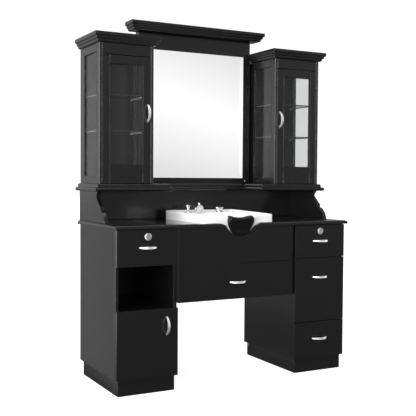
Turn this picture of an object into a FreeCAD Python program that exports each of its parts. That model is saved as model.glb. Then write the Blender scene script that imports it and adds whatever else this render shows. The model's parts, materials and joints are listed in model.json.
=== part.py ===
import FreeCAD, Part
import math
import os

Vec = FreeCAD.Vector

# Shampoo station: two pedestals, a counter with a bowl, and a mirror between two glazed cabinets.
# Millimetres. The origin is on the floor, on the station's middle plane, midway between the faces
# of the drawer handles and the back edge of the counter. +Z is up and the user sits towards -Y.

# Boards
panel = 18.0
back_panel = 8.0
front_board = 18.0
front_gap = 3.0
front_clearance = 1.0

# Pedestals and bay
body_width = 1412.0
body_depth = 553.0
pedestal_width = 342.0
plinth_height = 80.0
plinth_recess = 14.0
plinth_board = 16.0
niche_floor_top = 432.0
top_drawer_drop = 209.0
lower_drawer_line = 290.0
bay_bottom = 454.0
apron_drop = 216.0
bay_front_right_gap = 17.5
bay_front_left_gap = 1.0
bay_rail_height = 150.0

# Counter
counter_top = 864.0
counter_thickness = 20.0
counter_side_overhang = 12.0
counter_front_overhang = 16.0
counter_back_overhang = 9.0
counter_nose = 14.0

# Drawers
drawer_side = 15.0
drawer_bottom = 6.0
drawer_bottom_rise = 8.0
drawer_back_gap = 47.0
drawer_floor_gap = 8.0
slide_clearance = 1.0
strip_width = 8.0
strip_height = 16.0
strip_setback = 25.0
strip_end_gap = 35.0
strip_play = 0.3
top_box_height = 110.0
wide_box_height = 100.0
middle_box_height = 230.0
low_box_height = 130.0

# Bow handles
handle_length = 98.0
handle_reach = 32.0
handle_thick = 8.0
handle_foot = 9.0
handle_width = 12.0
handle_tip_width = 5.0
top_handle_drop = 114.0
wide_handle_z = 546.0
middle_handle_z = 544.0
low_handle_z = 192.0
base_door_handle_z = 343.0
base_door_handle_inset = 64.0
cabinet_handle_rise = 380.0
cabinet_handle_inset = 16.0

# Drawer locks
lock_drop = 59.0
lock_radius = 19.0
lock_dome = 5.0
lock_barrel_radius = 9.5
lock_plug_radius = 6.0
lock_fit = 0.05
lock_rail_height = 22.0
cam_length = 26.0
cam_play = 0.5
cam_width = 10.0
cam_thick = 2.5
key_slot_width = 1.6
key_slot_height = 7.0
key_slot_depth = 3.0

# Pivots of the doors
pivot_radius = 3.0
pivot_fit = 0.05
pivot_length = 10.0
pivot_end_play = 1.0
leaf_thick = 2.5
leaf_width = 12.0
leaf_play = 0.5
base_pivot_inset = 4.5
base_pivot_depth = 5.5
cabinet_pivot_inset = 12.0
cabinet_pivot_depth = 5.0

# Bowl
bowl_x = 6.0
bowl_width = 452.0
bowl_depth = 476.0
bowl_front = 5.0
bowl_rim_height = 52.0
bowl_wall = 12.0
bowl_front_corner = 48.0
bowl_back_corner = 22.0
bowl_rim_width = 22.0
bowl_deck = 76.0
deck_drop = 14.0
lip_width = 14.0
lip_round = 3.5
basin_depth = 176.0
basin_floor_width = 210.0
basin_floor_depth = 210.0
basin_floor_corner = 80.0
basin_corner = 60.0
basin_shell = 9.0
basin_floor_set_back = 100.0
bowl_bearing = 12.0
rim_round = 5.0
mouth_round = 6.0

# Neck notch, collar and neck rest
notch_depth = 72.0
notch_radius = 86.0
notch_shoulder = 85.0
notch_clearance = 0.5
collar_depth = 25.0
neck_dip = 36.0
neck_radius = 185.0
rest_width = 162.0
rest_drop = 73.0
rest_thick = 30.0
rest_side_rise = 8.0
rest_horn_rise = 40.0
rest_horn_width = 132.0
rest_saddle_rise = 28.0
rest_crown = 0.84
rest_tuck = 22.0
rest_gap = 0.4
rest_notch_gap = 1.5

# Drain and tap
drain_radius = 24.0
drain_flange_radius = 34.0
drain_flange_thick = 3.0
drain_thread_length = 22.0
drain_tail_radius = 19.05
drain_tail_length = 45.0
drain_wall = 3.0
drain_hole_radius = 2.5
drain_hole_circle = 11.0
drain_hole_count = 8
drain_nut_radius = 33.0
drain_nut_height = 10.0
drain_fit = 0.3
thread_fit = 0.3
tap_setback = 36.0
cold_x = -85.0
spray_x = -38.0
hot_x = 121.0
tap_base_radius = 21.0
tap_base_height = 4.0
tap_shank_radius = 12.5
tap_shank_length = 20.0
tap_inlet_radius = 10.48
tap_inlet_length = 26.0
tap_hole_fit = 0.2
tap_nut_radius = 19.0
tap_nut_height = 6.0
valve_stem_radius = 5.0
valve_stem_height = 14.0
knob_fit = 0.05
knob_lift = 0.4
knob_stem_gap = 1.0
knob_length = 54.0
knob_width = 30.0
knob_height = 25.0
knob_rim = 4.5
knob_round = 1.5
cold_knob_turn = 48.0
cold_lift = 13.0
hot_lift = 0.0
hot_knob_turn = -10.0
spray_setback = 50.0
spray_foot_radius = 16.0
spray_post_radius = 5.0
spray_axis_height = 22.5
spray_ring = 4.5
spray_ring_length = 11.0
spray_head_radius = 25.0
spray_reach = 12.5
spray_collar = 4.0
spray_bell_length = 18.0
spray_face_length = 7.0
spray_neck_radius = 9.0
spray_neck_length = 18.0
spray_button_radius = 8.0
spray_button_rise = 9.0
spray_button_back = 2.0
spray_fit = 0.3

# Riser and ledge
riser_height = 166.0
ledge_board_thick = 20.0
ledge_bead_thick = 20.0
ledge_step = 15.0
ledge_wing = 108.0
ledge_centre_front = 429.0
ledge_nose = 9.0
bead_cove = 10.0
bracket_thick = 20.0
bracket_foot = 171.0
bracket_step = 222.0
bracket_step_rise = 66.0
bracket_elbow = 235.0
bracket_elbow_rise = 82.0
bracket_cove = 293.0
bracket_cove_rise = 134.0
bracket_top = 262.0

# Cabinets
cabinet_width = 311.0
cabinet_set_in = 5.0
cabinet_front = 261.0
cabinet_side = 17.0
cabinet_height = 741.0
door_top_drop = 62.0
cabinet_top_board = 18.0
frieze_thick = 18.0
side_front_stile = 45.0
side_rear_stile = 63.0
side_top_rail = 44.0
side_bottom_rail = 40.0
pane_thick = 4.0
pane_lip = 8.0
shelf_thick = 6.0
shelf_low_rise = 280.0
shelf_high_rise = 471.0
shelf_front_gap = 12.0
shelf_side_gap = 1.5
shelf_pin_radius = 2.5
shelf_pin_length = 8.0
shelf_pin_inset = 40.0

# Cabinet doors
door_gap = 1.5
door_floor_gap = 2.0
door_recess = 1.0
door_thick = 20.0
door_hinge_stile = 41.0
door_lock_stile = 44.0
door_top_rail = 46.0
door_bottom_rail = 102.0
door_pane_depth = 8.0

# Cornices
cornice_height = 50.0
cornice_reach = 32.0
cornice_foot = 5.0
cornice_cap = 9.0
centre_soffit = 34.0

# Mirror
mirror_side_gap = 19.0
mirror_board_thick = 24.0
mirror_rise = 126.0
mirror_side_border = 49.0
mirror_low_border = 34.0
mirror_high_border = 95.0
mirror_thick = 5.0
mirror_bevel = 26.0
mirror_edge = 2.0

# Places worked out from the sizes above
half_body = body_width / 2
half_depth = (handle_reach + body_depth + counter_back_overhang) / 2
front_y = handle_reach - half_depth
carcass_front = front_y + front_board + front_clearance
back_y = front_y + body_depth
upper_back = back_y + counter_back_overhang
carcass_back = back_y - back_panel
counter_bottom = counter_top - counter_thickness
lock_cam_y = carcass_front + panel + cam_play
pedestal_inner = half_body - pedestal_width
bay_right = pedestal_inner - bay_front_right_gap
bay_left = -pedestal_inner + bay_front_left_gap
pedestal_front_inner = pedestal_inner + bay_front_left_gap
bowl_y0 = front_y + bowl_front
bowl_y1 = bowl_y0 + bowl_depth
bowl_rim = counter_top + bowl_rim_height
deck_z = bowl_rim - deck_drop
top_drawer_bottom = counter_top - top_drawer_drop
top_handle_z = counter_top - top_handle_drop
lock_z = counter_top - lock_drop
apron_bottom = counter_top - apron_drop
notch_bottom = counter_top - notch_depth
neck_dip_z = bowl_rim - neck_dip
rest_bottom = counter_top - rest_drop
rest_side_z = counter_top + rest_side_rise
rest_saddle_z = counter_top + rest_saddle_rise
rest_horn_z = counter_top + rest_horn_rise
basin_floor = bowl_rim - basin_depth
ledge_bottom = counter_top + riser_height
bracket_step_z = counter_top + bracket_step_rise
bracket_elbow_z = counter_top + bracket_elbow_rise
bracket_cove_z = counter_top + bracket_cove_rise
ledge_mid = ledge_bottom + ledge_board_thick
ledge_top = ledge_mid + ledge_bead_thick
cabinet_top_z = ledge_top + cabinet_height
cabinet_door_top = cabinet_top_z - door_top_drop
cabinet_handle_z = ledge_top + cabinet_handle_rise
shelf_low_z = ledge_top + shelf_low_rise
shelf_high_z = ledge_top + shelf_high_rise
cabinet_x1 = half_body - cabinet_set_in
cabinet_x0 = cabinet_x1 - cabinet_width
cabinet_front_y = front_y + cabinet_front
frieze_bottom = cabinet_door_top + door_floor_gap
drawer_y0 = front_y + front_board
drawer_y1 = carcass_back - drawer_back_gap
strip_y0 = carcass_front + strip_setback
strip_y1 = drawer_y1 - strip_end_gap
mirror_half = cabinet_x0 - mirror_side_gap
mirror_top_z = cabinet_top_z + mirror_rise
mirror_board_back = upper_back - panel
mirror_board_front = mirror_board_back - mirror_board_thick
rest_back_y = bowl_y0 + rest_tuck
tap_places = ((cold_x, tap_setback), (spray_x, spray_setback), (hot_x, tap_setback))


def board(x0, x1, y0, y1, z0, z1):
    return Part.makeBox(x1 - x0, y1 - y0, z1 - z0, Vec(x0, y0, z0))


def mirrored(shape):
    return shape.mirror(Vec(0, 0, 0), Vec(1, 0, 0))


def at_bowl(shape):
    """Carry a shape drawn about the station's middle plane to the bowl's own middle."""
    return shape.translated(Vec(bowl_x, 0, 0))


def cylinder(radius, length, base, direction=Vec(0, 0, 1)):
    return Part.makeCylinder(radius, length, base, direction)


def arc(start, middle, end):
    return Part.Arc(start, middle, end).toShape()


def line(start, end):
    return Part.makeLine(start, end)


def revolved(points, centre):
    """Turn an outline of (radius, height) points about the vertical through centre."""
    outline = [Vec(radius, 0, height) for radius, height in points]
    face = Part.Face(Part.makePolygon(outline + outline[:1]))
    solid = face.revolve(Vec(0, 0, 0), Vec(0, 0, 1), 360)
    solid.translate(centre)
    return solid


def save(name, *solids):
    shape = solids[0]
    if len(solids) > 1:
        shape = Part.makeCompound(list(solids))
    shape.exportStep("parts/" + name + ".step")


def rounded_rectangle(x_half, y0, y1, z, front_corner, back_corner):
    """A closed wire, symmetric in x, with one radius at the front corners and one at the back."""
    front = front_corner * (1 - math.sqrt(0.5))
    back = back_corner * (1 - math.sqrt(0.5))
    edges = [
        line(Vec(-x_half + front_corner, y0, z), Vec(x_half - front_corner, y0, z)),
        arc(Vec(x_half - front_corner, y0, z), Vec(x_half - front, y0 + front, z),
            Vec(x_half, y0 + front_corner, z)),
        line(Vec(x_half, y0 + front_corner, z), Vec(x_half, y1 - back_corner, z)),
        arc(Vec(x_half, y1 - back_corner, z), Vec(x_half - back, y1 - back, z),
            Vec(x_half - back_corner, y1, z)),
        line(Vec(x_half - back_corner, y1, z), Vec(-x_half + back_corner, y1, z)),
        arc(Vec(-x_half + back_corner, y1, z), Vec(-x_half + back, y1 - back, z),
            Vec(-x_half, y1 - back_corner, z)),
        line(Vec(-x_half, y1 - back_corner, z), Vec(-x_half, y0 + front_corner, z)),
        arc(Vec(-x_half, y0 + front_corner, z), Vec(-x_half + front, y0 + front, z),
            Vec(-x_half + front_corner, y0, z)),
    ]
    return Part.Wire(edges)


# Plinths and pedestals

def plinth_boards():
    """The left plinth: front and back boards the full width, with two side boards between."""
    x0 = -half_body + plinth_recess
    x1 = -pedestal_inner - plinth_recess
    y0 = front_y + plinth_recess
    y1 = back_y - plinth_recess
    inner_y0 = y0 + plinth_board
    inner_y1 = y1 - plinth_board
    return [
        board(x0, x1, y0, inner_y0, 0, plinth_height),
        board(x0, x1, inner_y1, y1, 0, plinth_height),
        board(x0, x0 + plinth_board, inner_y0, inner_y1, 0, plinth_height),
        board(x1 - plinth_board, x1, inner_y0, inner_y1, 0, plinth_height),
    ]


def pedestal_side(x0):
    return board(x0, x0 + panel, carcass_front, back_y, plinth_height, counter_bottom)


def pedestal_shelf(z0):
    return board(-half_body + panel, -pedestal_inner - panel, carcass_front, carcass_back,
                 z0, z0 + panel)


def lock_rail():
    """The rail under the counter that the lock's cam turns up behind."""
    return board(-half_body + panel, -pedestal_inner - panel, carcass_front, carcass_front + panel,
                 counter_bottom - lock_rail_height, counter_bottom)


def pedestal_back():
    return board(-half_body + panel, -pedestal_inner - panel, carcass_back, back_y,
                 plinth_height, counter_bottom)


def bay_side():
    return board(-pedestal_inner, -pedestal_inner + panel, carcass_front, back_y,
                 bay_bottom, counter_bottom)


def build_pedestals():
    plinth = plinth_boards()
    save("plinths", *plinth, *[mirrored(piece) for piece in plinth])
    outer = pedestal_side(-half_body)
    inner = pedestal_side(-pedestal_inner - panel)
    save("pedestal_sides", outer, inner, mirrored(inner), mirrored(outer))
    bottom = pedestal_shelf(plinth_height)
    floor = pedestal_shelf(niche_floor_top - panel)
    ceiling = pedestal_shelf(top_drawer_bottom)
    rail = lock_rail()
    save("pedestal_boards", bottom, floor, ceiling, rail, mirrored(bottom), mirrored(rail))
    back = pedestal_back()
    save("pedestal_backs", back, mirrored(back))
    side = bay_side()
    save("bay_sides", side, mirrored(side))
    save("bay_back_rail", board(-pedestal_inner + panel, pedestal_inner - panel, carcass_back - panel,
                                carcass_back, bay_bottom, bay_bottom + bay_rail_height))


# Neck notch, shared by the counter, the apron and the bowl's collar

def notch_face(inset, top, y):
    """The notch outline in the plane y, drawn in by inset and closed straight across at top."""
    turn = math.sqrt(0.5)
    radius = notch_radius - inset
    shoulder = notch_shoulder + inset
    low = notch_bottom + inset
    shoulder_z = counter_top + inset - shoulder
    slope_x = radius * turn
    slope_z = low + radius * (1 - turn)
    meet_z = shoulder_z + shoulder * turn
    meet_x = slope_x + meet_z - slope_z
    brow_x = meet_x + shoulder * turn
    brow_z = shoulder_z + shoulder
    middle_x = brow_x - shoulder * math.sin(math.pi / 8)
    middle_z = shoulder_z + shoulder * math.cos(math.pi / 8)
    edges = [
        arc(Vec(-slope_x, y, slope_z), Vec(0, y, low), Vec(slope_x, y, slope_z)),
        line(Vec(slope_x, y, slope_z), Vec(meet_x, y, meet_z)),
        arc(Vec(meet_x, y, meet_z), Vec(middle_x, y, middle_z), Vec(brow_x, y, brow_z)),
        line(Vec(brow_x, y, brow_z), Vec(brow_x, y, top)),
        line(Vec(brow_x, y, top), Vec(-brow_x, y, top)),
        line(Vec(-brow_x, y, top), Vec(-brow_x, y, brow_z)),
        arc(Vec(-brow_x, y, brow_z), Vec(-middle_x, y, middle_z), Vec(-meet_x, y, meet_z)),
        line(Vec(-meet_x, y, meet_z), Vec(-slope_x, y, slope_z)),
    ]
    return Part.Face(Part.Wire(edges))


def notch_tool(y0, y1):
    return at_bowl(notch_face(0, counter_top + panel, y0).extrude(Vec(0, y1 - y0, 0)))


def build_apron():
    sheet = board(bay_left, bay_right, front_y, carcass_front, apron_bottom, counter_bottom)
    save("apron", sheet.cut(notch_tool(front_y - panel, carcass_front + panel)))


# Counter

def top_edges(shape, z, y_back):
    """The edges of the top face at height z, apart from those along the back."""
    chosen = []
    for edge in shape.Edges:
        first, last = [vertex.Point for vertex in edge.Vertexes]
        level = abs(first.z - z) < 0.001 and abs(last.z - z) < 0.001
        at_back = abs(first.y - y_back) < 0.001 and abs(last.y - y_back) < 0.001
        if level and not at_back:
            chosen.append(edge)
    return chosen


def build_counter():
    reach = half_body + counter_side_overhang
    slab = board(-reach, reach, front_y - counter_front_overhang, upper_back,
                 counter_bottom, counter_top)
    slab = slab.makeFillet(counter_nose, top_edges(slab, counter_top, upper_back))
    opening = rounded_rectangle(bowl_width / 2 - bowl_bearing, bowl_y0 + bowl_bearing,
                                bowl_y1 - bowl_bearing, counter_bottom - panel,
                                bowl_front_corner - bowl_bearing, bowl_back_corner - bowl_bearing)
    opening = Part.Face(opening).extrude(Vec(0, 0, counter_thickness + 2 * panel))
    slab = slab.cut(at_bowl(opening))
    save("countertop", slab.cut(notch_tool(front_y - 2 * panel, bowl_y0 + 2 * bowl_bearing)))


# Drawers

def drawer_side_board(x_outer, toward, z0, height):
    """One side of a drawer box. toward is +1 where the box lies on the +X side of this board."""
    x0 = min(x_outer, x_outer + toward * drawer_side)
    side = board(x0, x0 + drawer_side, drawer_y0, drawer_y1, z0, z0 + height)
    depth = strip_width - slide_clearance + strip_play
    g0 = min(x_outer, x_outer + toward * depth)
    middle = z0 + height / 2
    half = strip_height / 2 + strip_play
    groove = board(g0, g0 + depth, strip_y0 - strip_play, drawer_y1, middle - half, middle + half)
    return side.cut(groove)


def drawer_box(x0, x1, z0, height):
    """The five boards of a box that runs between the carcass faces x0 and x1."""
    left = x0 + slide_clearance
    right = x1 - slide_clearance
    floor = z0 + drawer_bottom_rise
    inner_x0 = left + drawer_side
    inner_x1 = right - drawer_side
    inner_y0 = drawer_y0 + drawer_side
    inner_y1 = drawer_y1 - drawer_side
    return [
        drawer_side_board(left, 1, z0, height),
        drawer_side_board(right, -1, z0, height),
        board(inner_x0, inner_x1, drawer_y0, inner_y0, z0, z0 + height),
        board(inner_x0, inner_x1, inner_y1, drawer_y1, z0, z0 + height),
        board(inner_x0, inner_x1, inner_y0, inner_y1, floor, floor + drawer_bottom),
    ]


def runner_strips(x0, x1, z0, height):
    low = z0 + height / 2 - strip_height / 2
    high = low + strip_height
    return [
        board(x0, x0 + strip_width, strip_y0, strip_y1, low, high),
        board(x1 - strip_width, x1, strip_y0, strip_y1, low, high),
    ]


def bow_handle():
    """A horizontal bow pull, thick in the middle and tapered to its feet, on the plane y = 0."""
    half = handle_length / 2
    foot = half - handle_foot
    outer = arc(Vec(-half, 0, 0), Vec(0, -handle_reach, 0), Vec(half, 0, 0))
    inner = arc(Vec(foot, 0, 0), Vec(0, handle_thick - handle_reach, 0), Vec(-foot, 0, 0))
    ends = [line(Vec(half, 0, 0), Vec(foot, 0, 0)), line(Vec(-foot, 0, 0), Vec(-half, 0, 0))]
    crescent = Part.Face(Part.Wire([outer, ends[0], inner, ends[1]]))
    crescent.translate(Vec(0, 0, -handle_width))
    bow = crescent.extrude(Vec(0, 0, 2 * handle_width))
    tip = handle_tip_width / 2
    belly = handle_width / 2
    upper = arc(Vec(-half, 0, tip), Vec(0, 0, belly), Vec(half, 0, tip))
    lower = arc(Vec(half, 0, -tip), Vec(0, 0, -belly), Vec(-half, 0, -tip))
    ends = [line(Vec(half, 0, tip), Vec(half, 0, -tip)), line(Vec(-half, 0, -tip), Vec(-half, 0, tip))]
    lens = Part.Face(Part.Wire([upper, ends[0], lower, ends[1]]))
    return bow.common(lens.extrude(Vec(0, -2 * handle_reach, 0)))


def place_handle(x, y, z, upright=False):
    handle = bow_handle()
    if upright:
        handle.rotate(Vec(0, 0, 0), Vec(0, 1, 0), 90)
    handle.translate(Vec(x, y, z))
    return handle


def lock_barrel(x):
    """The rosette and the barrel that passes through the drawer front, bored for the plug."""
    face = front_y
    length = lock_cam_y - face - lock_fit
    rosette = Part.Face(Part.makePolygon([
        Vec(0, 0, 0), Vec(lock_radius, 0, 0), Vec(lock_radius, 0, lock_dome * 0.4),
        Vec(lock_radius * 0.78, 0, lock_dome), Vec(0, 0, lock_dome), Vec(0, 0, 0)]))
    rosette = rosette.revolve(Vec(0, 0, 0), Vec(0, 0, 1), 360)
    rosette.rotate(Vec(0, 0, 0), Vec(1, 0, 0), 90)
    rosette.translate(Vec(x, face, lock_z))
    barrel = cylinder(lock_barrel_radius, length, Vec(x, face, lock_z), Vec(0, 1, 0))
    bore = cylinder(lock_plug_radius + lock_fit, length + 2 * lock_dome,
                    Vec(x, face - lock_dome, lock_z), Vec(0, 1, 0))
    return rosette.fuse(barrel).cut(bore).removeSplitter()


def lock_plug(x):
    """The keyed plug with its cam, which lies level while the drawer is unlocked."""
    start = front_y - lock_dome
    end = lock_cam_y + cam_thick
    plug = cylinder(lock_plug_radius, end - start, Vec(x, start, lock_z), Vec(0, 1, 0))
    cam = board(x, x + cam_length, lock_cam_y, end, lock_z - cam_width / 2, lock_z + cam_width / 2)
    slot = board(x - key_slot_width / 2, x + key_slot_width / 2, start, start + key_slot_depth,
                 lock_z - key_slot_height / 2, lock_z + key_slot_height / 2)
    return plug.fuse(cam).cut(slot).removeSplitter()


def lock_bore(x):
    return cylinder(lock_barrel_radius, front_board, Vec(x, front_y, lock_z), Vec(0, 1, 0))


def build_drawers():
    strips = []
    pedestal = (pedestal_inner + panel, half_body - panel)
    bay = (-pedestal_inner + panel, pedestal_inner - panel)
    left = (-pedestal[1], -pedestal[0])
    centre = (half_body + pedestal_inner) / 2
    front_top = counter_bottom - front_gap
    top_z = top_drawer_bottom + panel + drawer_floor_gap
    low_z = plinth_height + panel + drawer_floor_gap
    full = (pedestal_front_inner, half_body)
    bay_span = (bay_left, bay_right)
    left_full = (-full[1], -full[0])
    rows = [
        ("left_drawer", left, left_full, top_drawer_bottom, front_top, top_z, top_box_height,
         -centre, top_handle_z, True),
        ("wide_drawer", bay, bay_span, bay_bottom, apron_bottom - front_gap,
         bay_bottom + drawer_floor_gap, wide_box_height, (bay_left + bay_right) / 2, wide_handle_z,
         False),
        ("right_top_drawer", pedestal, full, top_drawer_bottom, front_top, top_z, top_box_height,
         centre, top_handle_z, True),
        ("right_middle_drawer", pedestal, full, lower_drawer_line, top_drawer_bottom - front_gap,
         lower_drawer_line + drawer_floor_gap, middle_box_height, centre, middle_handle_z, False),
        ("right_bottom_drawer", pedestal, full, plinth_height, lower_drawer_line - front_gap,
         low_z, low_box_height, centre, low_handle_z, False),
    ]
    for name, space, span, bottom, top, box_z, height, handle_x, handle_z, locked in rows:
        front = board(span[0], span[1], front_y, front_y + front_board, bottom, top)
        if locked:
            front = front.cut(lock_bore(handle_x))
            save(name + "_lock", lock_barrel(handle_x))
            save(name + "_plug", lock_plug(handle_x))
        save(name + "_front", front)
        save(name + "_box", *drawer_box(space[0], space[1], box_z, height))
        save(name + "_handle", place_handle(handle_x, front_y, handle_z))
        strips += runner_strips(space[0], space[1], box_z, height)
    save("runner_strips", *strips)


# Base door on pivot leaves

def base_leaf(z0, pin_up):
    """A hinge leaf on the front edge of the outer side, with the pin that the door turns on."""
    x = -half_body + base_pivot_inset
    y = front_y + base_pivot_depth
    half = min(leaf_width / 2, base_pivot_inset - leaf_play)
    leaf = board(x - half, x + half, y, carcass_front, z0, z0 + leaf_thick)
    nose = cylinder(half, leaf_thick, Vec(x, y, z0))
    pin_z = z0 + leaf_thick if pin_up else z0 - pivot_length
    pin = cylinder(pivot_radius, pivot_length, Vec(x, y, pin_z))
    return leaf.fuse(nose).fuse(pin).removeSplitter()


def cabinet_pin(z0):
    """A plain pivot pin of the right cabinet's door, at its outer edge."""
    x = cabinet_x1 - cabinet_side - door_gap - cabinet_pivot_inset
    y = cabinet_front_y + door_recess + cabinet_pivot_depth
    return cylinder(pivot_radius, pivot_length, Vec(x, y, z0))


def build_pivots():
    low = cabinet_pin(ledge_top)
    high = cabinet_pin(frieze_bottom - pivot_length)
    save("pivot_hinges", base_leaf(plinth_height, True), base_leaf(niche_floor_top - leaf_thick, False),
         low, high, mirrored(low), mirrored(high))


def build_base_door():
    x = -half_body + base_pivot_inset
    y = front_y + base_pivot_depth
    door = board(-half_body, -pedestal_front_inner, front_y, front_y + front_board,
                 plinth_height, niche_floor_top)
    relief = leaf_thick + leaf_play
    reach = base_pivot_inset + leaf_width / 2 + leaf_play
    hole = pivot_length + pivot_end_play
    for low, pin_z in ((plinth_height, plinth_height + leaf_thick),
                       (niche_floor_top - relief, niche_floor_top - leaf_thick - hole)):
        door = door.cut(board(-half_body, -half_body + reach, front_y, front_y + front_board,
                              low, low + relief))
        door = door.cut(cylinder(pivot_radius + pivot_fit, hole, Vec(x, y, pin_z)))
    save("base_door", door)
    handle_x = -pedestal_front_inner - base_door_handle_inset
    save("base_door_handle", place_handle(handle_x, front_y, base_door_handle_z, True))


# Bowl, neck rest and drain

def basin_wire(share, grow, z):
    """A level section of the basin: share 0 is the mouth and 1 the floor; grow widens it."""
    mouth_half = bowl_width / 2 - bowl_rim_width
    mouth_y0 = bowl_y0 + bowl_rim_width
    mouth_y1 = bowl_y1 - bowl_deck
    floor_y0 = mouth_y0 + basin_floor_set_back
    x_half = mouth_half + share * (basin_floor_width / 2 - mouth_half) + grow
    y0 = mouth_y0 + share * (floor_y0 - mouth_y0) - grow
    y1 = mouth_y1 + share * (floor_y0 + basin_floor_depth - mouth_y1) + grow
    corner = basin_corner + share * (basin_floor_corner - basin_corner) + grow
    return rounded_rectangle(x_half, y0, y1, z, corner, corner)


def basin_loft(grow, lid):
    """The basin's space, or with grow its outside, closed at lid above the rim."""
    deep = basin_depth + grow
    sections = [basin_wire(0, grow, bowl_rim + lid)]
    for share, depth in ((0.03, 0.18), (0.16, 0.52), (0.45, 0.84), (1.0, 1.0)):
        sections.append(basin_wire(share, grow, bowl_rim - depth * deep))
    return Part.makeLoft(sections, True, False)


def neck_segment(bottom, radius, top, y0, y1):
    """The space above a dip of the given radius, whose lowest line is at bottom."""
    half = math.sqrt(radius ** 2 - (radius - (top - bottom)) ** 2)
    edges = [
        arc(Vec(-half, y0, top), Vec(0, y0, bottom), Vec(half, y0, top)),
        line(Vec(half, y0, top), Vec(-half, y0, top)),
    ]
    return Part.Face(Part.Wire(edges)).extrude(Vec(0, y1 - y0, 0))


def drain_place():
    return bowl_y0 + bowl_rim_width + basin_floor_set_back + basin_floor_depth / 2


def tap_holes():
    length = bowl_rim_height
    return [cylinder(tap_shank_radius + tap_hole_fit, length,
                     Vec(x, bowl_y1 - setback, bowl_rim - length)) for x, setback in tap_places]


def level_edges(shell, z, margin, y_end):
    """The edges at height z that lie more than margin inside the bowl's outline and before y_end."""
    inside = bowl_width / 2 - margin
    return [edge for edge in shell.Edges
            if abs(edge.BoundBox.ZMin - z) < 0.01 and abs(edge.BoundBox.ZMax - z) < 0.01
            and -inside < edge.BoundBox.XMin and edge.BoundBox.XMax < inside
            and edge.BoundBox.YMin > bowl_y0 + margin and edge.BoundBox.YMax < y_end]


def deck_pocket():
    """The space inside the raised lip, down to the deck that the taps stand on."""
    outline = rounded_rectangle(bowl_width / 2 - lip_width, bowl_y0 + lip_width, bowl_y1 - lip_width,
                                deck_z, bowl_front_corner - lip_width, bowl_back_corner - lip_width)
    return Part.Face(outline).extrude(Vec(0, 0, deck_drop + rim_round))


def build_bowl():
    outline = rounded_rectangle(bowl_width / 2, bowl_y0, bowl_y1, counter_top,
                                bowl_front_corner, bowl_back_corner)
    block = Part.Face(outline).extrude(Vec(0, 0, bowl_rim_height))
    block = block.makeFillet(rim_round, [edge for edge in block.Edges
                                         if edge.BoundBox.ZMin > bowl_rim - 0.001])
    hollow = rounded_rectangle(bowl_width / 2 - bowl_wall, bowl_y0 + bowl_wall, bowl_y1 - bowl_wall,
                               counter_top, bowl_front_corner - bowl_wall, bowl_back_corner - bowl_wall)
    hollow = Part.Face(hollow).extrude(Vec(0, 0, bowl_rim_height - deck_drop - bowl_wall))
    collar = notch_face(notch_clearance, bowl_rim - rim_round, bowl_y0).extrude(Vec(0, collar_depth, 0))
    shell = block.cut(hollow).fuse(basin_loft(basin_shell, -rim_round)).fuse(collar)
    shell = shell.cut(basin_loft(0, rim_round)).cut(deck_pocket()).removeSplitter()
    mouth_margin = (lip_width + bowl_rim_width) / 2
    shell = shell.makeFillet(mouth_round, level_edges(shell, deck_z, mouth_margin, bowl_y1 - bowl_deck + 1))
    lip_margin = (lip_width + rim_round) / 2
    shell = shell.makeFillet(lip_round, level_edges(shell, bowl_rim, lip_margin, bowl_y1 - lip_margin))
    dip_end = bowl_y0 + bowl_rim_width + basin_floor_set_back
    shell = shell.cut(neck_segment(neck_dip_z, neck_radius, bowl_rim + rim_round,
                                   front_y - panel, dip_end))
    drain = cylinder(drain_radius + drain_fit, 2 * basin_shell + basin_depth,
                     Vec(bowl_x, drain_place(), basin_floor - 2 * basin_shell))
    shell = at_bowl(shell)
    for tool in [drain] + tap_holes():
        shell = shell.cut(tool)
    save("bowl", shell.removeSplitter())


def rest_face(scale, y):
    """The neck rest's shield outline in the plane y, shrunk towards its middle by scale."""
    middle_z = (rest_horn_z + rest_bottom) / 2

    def spot(x, z):
        return Vec(x * scale, y, middle_z + (z - middle_z) * scale)

    half = rest_width / 2
    horn = rest_horn_width / 2
    horn_mid = horn + (half - horn) * 0.72
    horn_mid_z = rest_side_z + (rest_horn_z - rest_side_z) * 0.72
    low_x = half * 0.7
    low_z = rest_bottom + (rest_side_z - rest_bottom) * 0.32
    edges = [
        arc(spot(-horn, rest_horn_z), spot(0, rest_saddle_z), spot(horn, rest_horn_z)),
        arc(spot(horn, rest_horn_z), spot(horn_mid, horn_mid_z), spot(half, rest_side_z)),
        arc(spot(half, rest_side_z), spot(half * 0.89, (rest_side_z + low_z) / 2), spot(low_x, low_z)),
        arc(spot(low_x, low_z), spot(0, rest_bottom), spot(-low_x, low_z)),
        arc(spot(-low_x, low_z), spot(-half * 0.89, (rest_side_z + low_z) / 2), spot(-half, rest_side_z)),
        arc(spot(-half, rest_side_z), spot(-horn_mid, horn_mid_z), spot(-horn, rest_horn_z)),
    ]
    return Part.Wire(edges)


def build_neck_rest():
    back = bowl_y0 - rest_gap
    front = back - rest_thick
    bulge = 1 - rest_crown
    stations = ((rest_crown, front), (1 - bulge * 0.35, front + rest_thick * 0.2),
                (1.0, front + rest_thick * 0.6), (1 - bulge * 0.2, back))
    pad = Part.makeLoft([rest_face(scale, y) for scale, y in stations], True, False)
    lip_back = front_y - rest_gap
    plug = notch_face(rest_notch_gap, bowl_rim, lip_back).extrude(Vec(0, rest_thick, 0))
    lip = board(-rest_width, rest_width, front - rest_gap, lip_back, neck_dip_z - rest_width, bowl_rim)
    pad = pad.common(lip.fuse(plug))
    saddle = neck_segment(neck_dip_z + rest_gap, neck_radius, rest_horn_z, back - rest_thick / 2,
                          rest_back_y)
    top_cut = neck_segment(rest_saddle_z, neck_radius, bowl_rim + panel, front, rest_back_y)
    sides = board(-rest_horn_width / 2, rest_horn_width / 2, front, rest_back_y,
                  neck_dip_z, bowl_rim + panel)
    saddle = saddle.common(sides).cut(top_cut)
    save("neck_rest", at_bowl(pad.fuse(saddle).removeSplitter()))


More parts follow.
